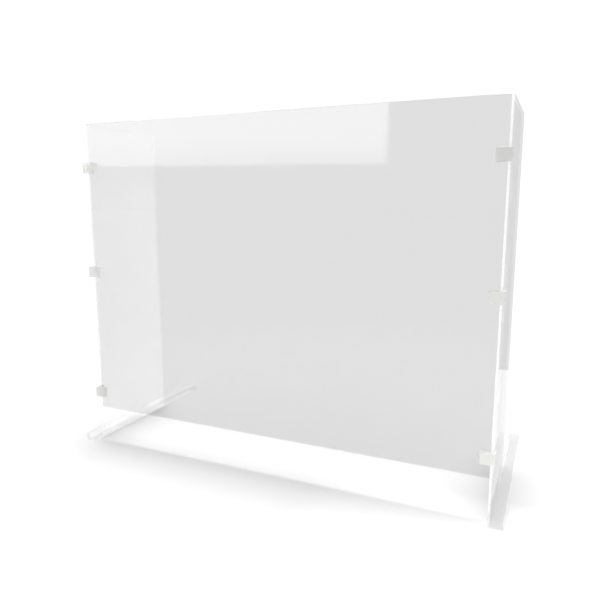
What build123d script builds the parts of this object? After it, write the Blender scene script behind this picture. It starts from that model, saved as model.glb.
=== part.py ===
from build123d import *

import os

os.makedirs("parts", exist_ok=True)

# Free-standing counter sneeze guard of clear acrylic: one wide front panel held between
# two upright side wings, with a pass-through gap under the panel. Six corner clips join
# the sheets, three up each corner, and a solid bar foot stands along the outside of each
# wing.
#
# Millimetres, +Z up, +X to the right, the front faces -Y. The origin is the centre of
# the footprint, on the counter.

# Overall sizes
panel_width = 863.6
total_height = 711.2
pass_through_height = 76.2
wing_depth = 228.6
foot_length = 406.4

# Sections
sheet_thickness = 4.76
foot_width = 23.8
foot_height = 15.9
foot_overhang = 25.4

# Corner clips: a thick front leg over the panel's face and the wing's front edge, and a
# thin side leg over the wing's outer face
clip_height = 21.6
clip_front_thickness = 8.9
clip_side_thickness = 2.6
clip_inboard = 17.5
clip_side_run = 12.7
clip_round = 0.8
clip_root_round = 0.25
# An edge this near an outer face of the clip lies on that face
on_face = 0.1
upper_clip_height = 619.0
middle_clip_height = 392.5
lower_clip_height = 114.5

# Polished edges of the cut sheets and bars
sheet_bevel = 0.4
foot_bevel = 0.8

# Derived positions
front_face_y = foot_overhang - foot_length / 2
wing_inner_x = panel_width / 2
wing_outer_x = wing_inner_x + sheet_thickness


def save(part, name):
    part.label = name
    export_step(part, f"parts/{name}.step")


def slab(x0, x1, y0, y1, z0, z1, bevel):
    """Rectangular piece between two corners, with its arrises broken."""
    size = (x1 - x0, y1 - y0, z1 - z0)
    centre = ((x0 + x1) / 2, (y0 + y1) / 2, (z0 + z1) / 2)
    body = Pos(*centre) * Box(*size)
    return chamfer(body.edges(), bevel)


def front_panel():
    """Wide front sheet, clear of the counter, butted between the two wings."""
    back_y = front_face_y + sheet_thickness
    return slab(
        -panel_width / 2,
        panel_width / 2,
        front_face_y,
        back_y,
        pass_through_height,
        total_height,
        sheet_bevel,
    )


def right_wing():
    """Side sheet that stands on the counter, its front edge flush with the panel."""
    back_y = front_face_y + wing_depth
    return slab(
        wing_inner_x,
        wing_outer_x,
        front_face_y,
        back_y,
        0,
        total_height,
        sheet_bevel,
    )


def right_foot():
    """Solid square-ended bar bonded along the bottom of the wing's outer face."""
    near_y = front_face_y - foot_overhang
    return slab(
        wing_outer_x,
        wing_outer_x + foot_width,
        near_y,
        near_y + foot_length,
        0,
        foot_height,
        foot_bevel,
    )


def right_clip(centre_z):
    """One-piece corner clip, an L seen from above, bonded over the outside corner."""
    inner_x = wing_inner_x - clip_inboard
    outer_x = wing_outer_x + clip_side_thickness
    near_y = front_face_y - clip_front_thickness
    back_y = front_face_y + clip_side_run
    outline = Polyline(
        (inner_x, near_y),
        (outer_x, near_y),
        (outer_x, back_y),
        (wing_outer_x, back_y),
        (wing_outer_x, front_face_y),
        (inner_x, front_face_y),
        close=True,
    )
    plan = Plane.XY.offset(centre_z - clip_height / 2) * make_face(outline)
    body = extrude(plan, clip_height)
    # the two show edges of each leg and the outside corner are rounded
    uprights = body.edges().filter_by(Axis.Z)
    shown = uprights.filter_by(lambda e: e.center().Y < near_y + on_face)
    body = fillet(shown, clip_round)
    # the moulding's remaining arrises on the outside are lightly broken
    tip = body.edges().filter_by(Axis.Z).filter_by(lambda e: e.center().Y > back_y - on_face)
    outer_tip = tip.filter_by(lambda e: e.center().X > outer_x - on_face)
    body = fillet(outer_tip, clip_round)
    rims = body.faces().filter_by(Axis.Z)
    outside = [
        e
        for face in rims
        for e in face.edges()
        if e.center().Y < near_y + clip_round or e.center().X > outer_x - clip_round
    ]
    return fillet(outside, clip_root_round)


def mirrored(part):
    return mirror(part, about=Plane.YZ)


save(front_panel(), "front_panel")

wing = right_wing()
save(wing, "right_wing")
save(mirrored(wing), "left_wing")

foot = right_foot()
save(foot, "right_foot")
save(mirrored(foot), "left_foot")

clip_heights = {
    "upper": upper_clip_height,
    "middle": middle_clip_height,
    "lower": lower_clip_height,
}
for level, centre_z in clip_heights.items():
    clip = right_clip(centre_z)
    save(clip, f"right_{level}_clip")
    save(mirrored(clip), f"left_{level}_clip")
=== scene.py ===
import math

import bpy
from mathutils import Matrix, Vector


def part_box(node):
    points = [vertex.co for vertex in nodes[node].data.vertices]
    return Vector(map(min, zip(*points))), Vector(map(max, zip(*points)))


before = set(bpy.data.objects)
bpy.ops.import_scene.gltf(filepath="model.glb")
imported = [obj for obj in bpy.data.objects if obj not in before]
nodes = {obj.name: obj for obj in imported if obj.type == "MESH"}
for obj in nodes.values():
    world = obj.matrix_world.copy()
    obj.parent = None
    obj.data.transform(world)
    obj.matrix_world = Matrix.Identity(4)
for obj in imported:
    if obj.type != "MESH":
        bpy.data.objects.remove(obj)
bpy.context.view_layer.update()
scene = bpy.context.scene

INCH = 0.0254
FRONT_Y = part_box("front_panel")[0].y
foot_low, foot_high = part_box("right_foot")

# ---------------------------------------------------------------- camera
# in front of the right wing, lower than the guard's top, looking left and slightly down
CAMERA_AT = Vector((0.5181, FRONT_Y - 0.9791, 0.5445))
CAMERA_YAW = math.radians(-24.4)
CAMERA_PITCH = math.radians(9.565)
SENSOR_MM = 36.0
LENS_MM = 34.584
NEAREST = 0.01
FARTHEST = 200.0


def add_camera():
    data = bpy.data.cameras.new("camera")
    data.sensor_width = SENSOR_MM
    data.lens = LENS_MM
    data.clip_start = NEAREST
    data.clip_end = FARTHEST
    camera = bpy.data.objects.new("camera", data)
    scene.collection.objects.link(camera)
    level = Vector((math.sin(CAMERA_YAW), math.cos(CAMERA_YAW), 0.0))
    down = Vector((0.0, 0.0, -1.0))
    forward = level * math.cos(CAMERA_PITCH) + down * math.sin(CAMERA_PITCH)
    right = Vector((math.cos(CAMERA_YAW), -math.sin(CAMERA_YAW), 0.0))
    up = right.cross(forward)
    turn = Matrix((right, up, -forward)).transposed().to_4x4()
    camera.matrix_world = Matrix.Translation(CAMERA_AT) @ turn
    scene.camera = camera


add_camera()


# ---------------------------------------------------------------- node helpers
class Tree:
    """A short way to write the nodes of a material, a world or a lamp."""

    def __init__(self, owner, output):
        owner.use_nodes = True
        self.nodes = owner.node_tree.nodes
        self.links = owner.node_tree.links
        self.nodes.clear()
        self.out = self.nodes.new(output)

    def add(self, kind, inputs=None, **settings):
        node = self.nodes.new(kind)
        for key, value in settings.items():
            setattr(node, key, value)
        for key, value in (inputs or {}).items():
            if isinstance(value, bpy.types.NodeSocket):
                self.links.new(value, node.inputs[key])
            else:
                node.inputs[key].default_value = value
        return node

    def math(self, operation, a, b=0.0):
        return self.add("ShaderNodeMath", {0: a, 1: b}, operation=operation).outputs[0]

    def span(self, value, source, target, curve="LINEAR"):
        """Carry a value from one (start, end) span to another, and hold it at the ends."""
        node = self.add(
            "ShaderNodeMapRange",
            {
                "Value": value,
                "From Min": source[0],
                "From Max": source[1],
                "To Min": target[0],
                "To Max": target[1],
            },
            interpolation_type=curve,
        )
        return node.outputs["Result"]

    def noise(self, place, scale, detail, roughness=0.5):
        node = self.add(
            "ShaderNodeTexNoise",
            {"Vector": place, "Scale": scale, "Detail": detail, "Roughness": roughness},
        )
        return node.outputs["Fac"]

    def ripple(self, height, strength, depth):
        node = self.add(
            "ShaderNodeBump",
            {"Height": height, "Strength": strength, "Distance": depth},
        )
        return node.outputs["Normal"]

    def split(self, vector):
        return self.add("ShaderNodeSeparateXYZ", {0: vector}).outputs

    def mix_colour(self, factor, a, b):
        # sockets 6, 7 and 2 are the mix node's two colours and its colour result
        return self.add("ShaderNodeMix", {0: factor, 6: a, 7: b}, data_type="RGBA").outputs[2]

    def mix_shader(self, factor, a, b):
        return self.add("ShaderNodeMixShader", {0: factor, 1: a, 2: b}).outputs[0]

    def finish(self, shader):
        self.links.new(shader, self.out.inputs["Surface"])


def new_material(name):
    material = bpy.data.materials.new(name)
    return material, Tree(material, "ShaderNodeOutputMaterial")


def shaded(colour, share):
    return (*(part * share for part in colour[:3]), 1.0)


def grey(value):
    return (value, value, value, 1.0)


WHITE = grey(1.0)

# ---------------------------------------------------------------- clear plastic
ACRYLIC_IOR = 1.49
# most of a noise's values lie between these
NOISE_SPAN = (0.3, 0.7)
# noise scales are in waves per metre, and depths in metres
SHEET_WAVES = {"scale": 5.0, "detail": 1.0}
SHEET_RIPPLE = {"strength": 0.06, "depth": 0.01}
SHEET_HAZE = {"scale": 22.0, "detail": 4.0, "roughness": 0.6}
SHEET_ROUGHNESS = (0.035, 0.06)
SHEET_CLOUDS = {"scale": 60.0, "detail": 3.0}
SHEET_CLEARER = 1.008
SAW_MARKS = {"scale": 180.0, "detail": 3.0}
EDGE_GLOW = (0.62, 0.78)
# a face whose normal has this much of the sheet's own direction goes from cut edge to sheet face
EDGE_TO_FACE = (0.4, 0.6)
# and a cut edge that looks this far down goes from unlit to lit
DOWN_TO_SIDE = (-0.6, -0.4)

BLOCK_FLOW = {"scale": 40.0, "detail": 2.0}
BLOCK_RIPPLE = {"strength": 0.1, "depth": 0.002}
BLOCK_CLOUDS = {"scale": 90.0, "detail": 3.0}
BLOCK_DARKER = 0.97
BLOCK_SCUFFS = {"scale": 150.0, "detail": 4.0}
MILK_DARKER = 0.95


def acrylic_fresnel(tree, backfacing, ripple):
    """The mirror share of clear acrylic, the same on the way in and on the way out."""
    ior = tree.span(backfacing, (0.0, 1.0), (ACRYLIC_IOR, 1 / ACRYLIC_IOR))
    return tree.add("ShaderNodeFresnel", {"IOR": ior, "Normal": ripple}).outputs[0]


def acrylic_gloss(tree, roughness, ripple):
    gloss = {"Color": WHITE, "Roughness": roughness, "Normal": ripple}
    return tree.add("ShaderNodeBsdfGlossy", gloss).outputs[0]


def sheet_material(name, clear, thin_axis):
    """Clear cast sheet: see-through faces that mirror at a slant, and brighter cut edges."""
    material, tree = new_material(name)
    place = tree.add("ShaderNodeTexCoord").outputs["Object"]
    geometry = tree.add("ShaderNodeNewGeometry").outputs
    # cast sheet is never quite flat, so what it mirrors bends a little
    ripple = tree.ripple(tree.noise(place, **SHEET_WAVES), **SHEET_RIPPLE)
    fresnel = acrylic_fresnel(tree, geometry["Backfacing"], ripple)
    # handling haze
    haze = tree.noise(place, **SHEET_HAZE)
    gloss = acrylic_gloss(tree, tree.span(haze, NOISE_SPAN, SHEET_ROUGHNESS), ripple)
    # the cut edges gather light and glow whiter than the faces
    normal = tree.split(geometry["True Normal"])
    facing = tree.math("ABSOLUTE", normal[thin_axis])
    edge = tree.span(facing, EDGE_TO_FACE, (1.0, 0.0))
    clouds = tree.noise(place, **SHEET_CLOUDS)
    face = tree.mix_colour(clouds, grey(clear), shaded(grey(clear), SHEET_CLEARER))
    tint = tree.mix_colour(edge, face, WHITE)
    through = tree.add("ShaderNodeBsdfTransparent", {"Color": tint}).outputs[0]
    satin = tree.add("ShaderNodeBsdfDiffuse", {"Color": WHITE}).outputs[0]
    sawn = tree.span(tree.noise(place, **SAW_MARKS), NOISE_SPAN, EDGE_GLOW)
    outside = tree.math("SUBTRACT", 1.0, geometry["Backfacing"])
    lit = tree.math("MULTIPLY", outside, tree.span(normal["Z"], DOWN_TO_SIDE, (0.0, 1.0)))
    glow = tree.math("MULTIPLY", tree.math("MULTIPLY", edge, lit), sawn)
    inside = tree.mix_shader(glow, through, satin)
    tree.finish(tree.mix_shader(fresnel, inside, gloss))
    return material


def block_material(name, tint, roughness, bend, milk=0.0, cream=WHITE):
    """Clear solid plastic, with bend as its share of real glass and milk as its clouded share.

    All of it lets lamps through, so that its shadow stays pale.
    """
    material, tree = new_material(name)
    place = tree.add("ShaderNodeTexCoord").outputs["Object"]
    geometry = tree.add("ShaderNodeNewGeometry").outputs
    ripple = tree.ripple(tree.noise(place, **BLOCK_FLOW), **BLOCK_RIPPLE)
    clouds = tree.noise(place, **BLOCK_CLOUDS)
    colour = tree.mix_colour(clouds, tint, shaded(tint, BLOCK_DARKER))
    scuffed = tree.span(tree.noise(place, **BLOCK_SCUFFS), NOISE_SPAN, roughness)
    through = tree.add("ShaderNodeBsdfTransparent", {"Color": colour}).outputs[0]
    fresnel = acrylic_fresnel(tree, geometry["Backfacing"], ripple)
    gloss = acrylic_gloss(tree, scuffed, ripple)
    straight = tree.mix_shader(fresnel, through, gloss)
    glass = tree.add(
        "ShaderNodeBsdfGlass",
        {"Color": colour, "Roughness": scuffed, "IOR": ACRYLIC_IOR, "Normal": ripple},
    ).outputs[0]
    body = tree.mix_shader(bend, straight, glass)
    if milk:
        cloudy = tree.mix_colour(clouds, cream, shaded(cream, MILK_DARKER))
        solid = tree.add("ShaderNodeBsdfDiffuse", {"Color": cloudy}).outputs[0]
        body = tree.mix_shader(milk, body, tree.mix_shader(fresnel, solid, gloss))
    to_lamp = tree.add("ShaderNodeLightPath").outputs["Is Shadow Ray"]
    tree.finish(tree.mix_shader(to_lamp, body, through))
    return material


def assign(node, material):
    piece = nodes[node]
    piece.data.materials.clear()
    piece.data.materials.append(material)


assign("front_panel", sheet_material("panel_acrylic", clear=0.84, thin_axis="Y"))
wing_acrylic = sheet_material("wing_acrylic", clear=0.95, thin_axis="X")
for wing in ("left_wing", "right_wing"):
    assign(wing, wing_acrylic)
foot_acrylic = block_material("foot_acrylic", grey(0.98), roughness=(0.03, 0.08), bend=0.1)
for foot in ("left_foot", "right_foot"):
    assign(foot, foot_acrylic)

CLIP_TINT = (0.975, 0.9706, 0.9575, 1.0)
CREAM = (1.0, 1.005, 0.975)
# painted light and shade: each clip's cloudy colour is lightened or darkened to stand for how
# light falls on it, in its own copy of the material
CLIP_PAINTED_SHADES = {
    "right_upper_clip": 0.68,
    "right_middle_clip": 0.82,
    "right_lower_clip": 0.9,
    "left_upper_clip": 0.86,
    "left_middle_clip": 0.83,
    "left_lower_clip": 0.76,
}
for clip, shade in CLIP_PAINTED_SHADES.items():
    clip_plastic = block_material(
        f"{clip}_plastic",
        CLIP_TINT,
        roughness=(0.02, 0.05),
        bend=0.18,
        milk=0.6,
        # the cloudy colour carries this clip's painted light or shade
        cream=shaded(CREAM, shade),
    )
    assign(clip, clip_plastic)

# ---------------------------------------------------------------- floor
# a disc of this radius, a hair below the guard so that no two faces coincide
FLOOR_REACH = 60.0
FLOOR_CORNERS = 128
FLOOR_DROP = 0.0002
FLOOR_ALBEDO = 0.6
# the paler ground colour of the painted light that fades the shadow at the front right
FLOOR_PAINTED_LIGHT = 0.79
# where painted light makes the ground paler, from left to right and from back to front
PAINTED_LIGHT_ACROSS = (0.1, 0.42)
PAINTED_LIGHT_AHEAD = (FRONT_Y + 0.08, FRONT_Y - 0.01)
FOOT_MARGIN = 0.006
# between these distances from the middle the ground turns into the white of the backdrop
FADE_REACH = (0.64, 1.6)
FADE_MOST = 0.99
BACKDROP = 1.03


def ground_colour(tree, place):
    """Grey ground with painted light: paler under the front right corner, so that the shadow
    thins out there.
    """
    spot = tree.split(place)
    right = tree.span(spot["X"], PAINTED_LIGHT_ACROSS, (0.0, 1.0))
    ahead = tree.span(spot["Y"], PAINTED_LIGHT_AHEAD, (0.0, 1.0))
    # but not under the right foot, which shades it
    middle = (foot_low.x + foot_high.x) / 2
    half = (foot_high.x - foot_low.x) / 2
    aside = tree.math("ABSOLUTE", tree.math("SUBTRACT", spot["X"], middle))
    beside = tree.span(aside, (half, half + FOOT_MARGIN), (0.0, 1.0))
    before = tree.span(spot["Y"], (foot_low.y, foot_low.y - FOOT_MARGIN), (0.0, 1.0))
    bare = tree.math("MAXIMUM", beside, before)
    # painted light: the ground's colour turns paler here in place of a lighter shadow
    pale = tree.math("MULTIPLY", tree.math("MULTIPLY", right, ahead), bare)
    return tree.mix_colour(pale, grey(FLOOR_ALBEDO), grey(FLOOR_PAINTED_LIGHT))


def floor_material():
    material, tree = new_material("floor_white")
    place = tree.add("ShaderNodeTexCoord").outputs["Object"]
    ground = tree.add("ShaderNodeBsdfDiffuse", {"Color": ground_colour(tree, place)}).outputs[0]
    sweep = tree.add("ShaderNodeEmission", {"Color": WHITE, "Strength": BACKDROP}).outputs[0]
    reach = tree.add("ShaderNodeVectorMath", {0: place}, operation="LENGTH").outputs["Value"]
    fade = tree.span(reach, FADE_REACH, (0.0, FADE_MOST))
    tree.finish(tree.mix_shader(fade, ground, sweep))
    return material


def add_floor():
    data = bpy.data.meshes.new("floor")
    turns = [2 * math.pi * i / FLOOR_CORNERS for i in range(FLOOR_CORNERS)]
    rim = [
        (FLOOR_REACH * math.cos(turn), FLOOR_REACH * math.sin(turn), -FLOOR_DROP)
        for turn in turns
    ]
    data.from_pydata(rim, [], [list(range(FLOOR_CORNERS))])
    data.materials.append(floor_material())
    floor = bpy.data.objects.new("floor", data)
    scene.collection.objects.link(floor)
    floor.visible_glossy = False


add_floor()

# ---------------------------------------------------------------- light
# the room lights the guard and shows in its reflections, and is brighter at the front
ROOM_FRONT = 1.0
ROOM_BACK = 0.65
ROOM_TURN = (-0.5, 0.5)
SUN_SHARE = 0.57
SUN_ANGLE = math.radians(17)
SUN_TILT = math.radians(3.8)
# a softbox that doesn't dim towards an edge
EVEN = (1.0, 1.0)
# inches from the panel's front back to the softboxes behind the guard
REAR = 60


def add_world():
    """The room, and a white backdrop that only the camera sees."""
    world = bpy.data.worlds.new("studio")
    scene.world = world
    tree = Tree(world, "ShaderNodeOutputWorld")
    direction = tree.split(tree.add("ShaderNodeTexCoord").outputs["Generated"])
    strength = tree.span(direction["Y"], ROOM_TURN, (ROOM_FRONT, ROOM_BACK))
    room = tree.add("ShaderNodeBackground", {"Color": WHITE, "Strength": strength}).outputs[0]
    backdrop = tree.add("ShaderNodeBackground", {"Color": WHITE, "Strength": BACKDROP}).outputs[0]
    seen = tree.add("ShaderNodeLightPath").outputs["Is Camera Ray"]
    tree.finish(tree.mix_shader(seen, room, backdrop))


def add_sun():
    """A broad lamp overhead, which adds SUN_SHARE to the ground's brightness."""
    data = bpy.data.lights.new("overhead", "SUN")
    data.angle = SUN_ANGLE
    data.energy = SUN_SHARE * math.pi / FLOOR_ALBEDO / math.cos(SUN_TILT)
    lamp = bpy.data.objects.new("overhead", data)
    lamp.rotation_euler = (-SUN_TILT, 0, 0)
    scene.collection.objects.link(lamp)


def studio(x, behind, z):
    """A place in inches: across, behind the panel's front, and above the ground."""
    return Vector((x * INCH, FRONT_Y + behind * INCH, z * INCH))


def add_softbox(name, left, right, height, radiance, low=EVEN, high=EVEN, side=EVEN):
    """A soft panel light on the line from left to right, which only reflections show.

    Left and right are as seen from behind it, and height is in inches. Low, high and side
    say how it dims towards its bottom, top and right edges: the share of the full radiance
    at the edge, and the share of the panel that the change takes.
    """
    along = (right - left).normalized()
    width = (right - left).length
    height = height * INCH
    up = Vector((0, 0, 1))
    data = bpy.data.lights.new(name, "AREA")
    data.shape = "RECTANGLE"
    data.size = width
    data.size_y = height
    data.energy = radiance * math.pi * width * height
    tree = Tree(data, "ShaderNodeOutputLight")
    place = tree.split(tree.add("ShaderNodeNewGeometry").outputs["Parametric"])
    strength = 1.0
    for axis, edge, (share, run) in (("Y", 0, low), ("Y", 1, high), ("X", 0, side)):
        ramp = tree.span(place[axis], (edge, abs(edge - run)), (share, 1.0), "SMOOTHSTEP")
        strength = tree.math("MULTIPLY", strength, ramp)
    tree.finish(tree.add("ShaderNodeEmission", {"Strength": strength}).outputs[0])
    lamp = bpy.data.objects.new(name, data)
    # it shines along its own -Z
    turn = Matrix((along, up, along.cross(up))).transposed().to_4x4()
    lamp.matrix_world = Matrix.Translation((left + right) / 2 + up * height / 2) @ turn
    lamp.visible_camera = False
    lamp.visible_diffuse = False
    lamp.visible_transmission = False
    scene.collection.objects.link(lamp)


add_world()
add_sun()
# the bright band along the panel's top left
add_softbox(
    "front_softbox",
    studio(-110, -55.3, 30),
    studio(-17.3, -93.6, 30),
    height=40,
    radiance=2.37,
    low=(0.72, 0.17),
    side=(0.87, 0.18),
)
# the left wing mirrors these two, one above the other
add_softbox(
    "rear_softbox",
    studio(43, REAR, -25.7),
    studio(22.8, REAR, -25.7),
    height=65.7,
    radiance=2.4,
    high=(0.5, 0.3),
)
add_softbox(
    "under_softbox",
    studio(43, REAR, -80),
    studio(22.8, REAR, -80),
    height=54.3,
    radiance=1.5,
)
# the right wing mirrors this one
add_softbox(
    "low_softbox",
    studio(22.6, REAR, -80),
    studio(18, REAR, -80),
    height=74,
    radiance=0.27,
)
# and the top of the left foot this one
add_softbox(
    "back_softbox",
    studio(-30, REAR, 13),
    studio(-62, REAR, 13),
    height=14,
    radiance=0.95,
    low=(0.5, 0.3),
    side=(0.1, 0.22),
)

scene.view_settings.view_transform = "Standard"
scene.view_settings.look = "None"
scene.view_settings.exposure = 0.0
scene.view_settings.gamma = 1.0
# a ray crosses many clear faces
scene.cycles.max_bounces = 24
scene.cycles.transparent_max_bounces = 32
scene.cycles.transmission_bounces = 16
scene.cycles.glossy_bounces = 8

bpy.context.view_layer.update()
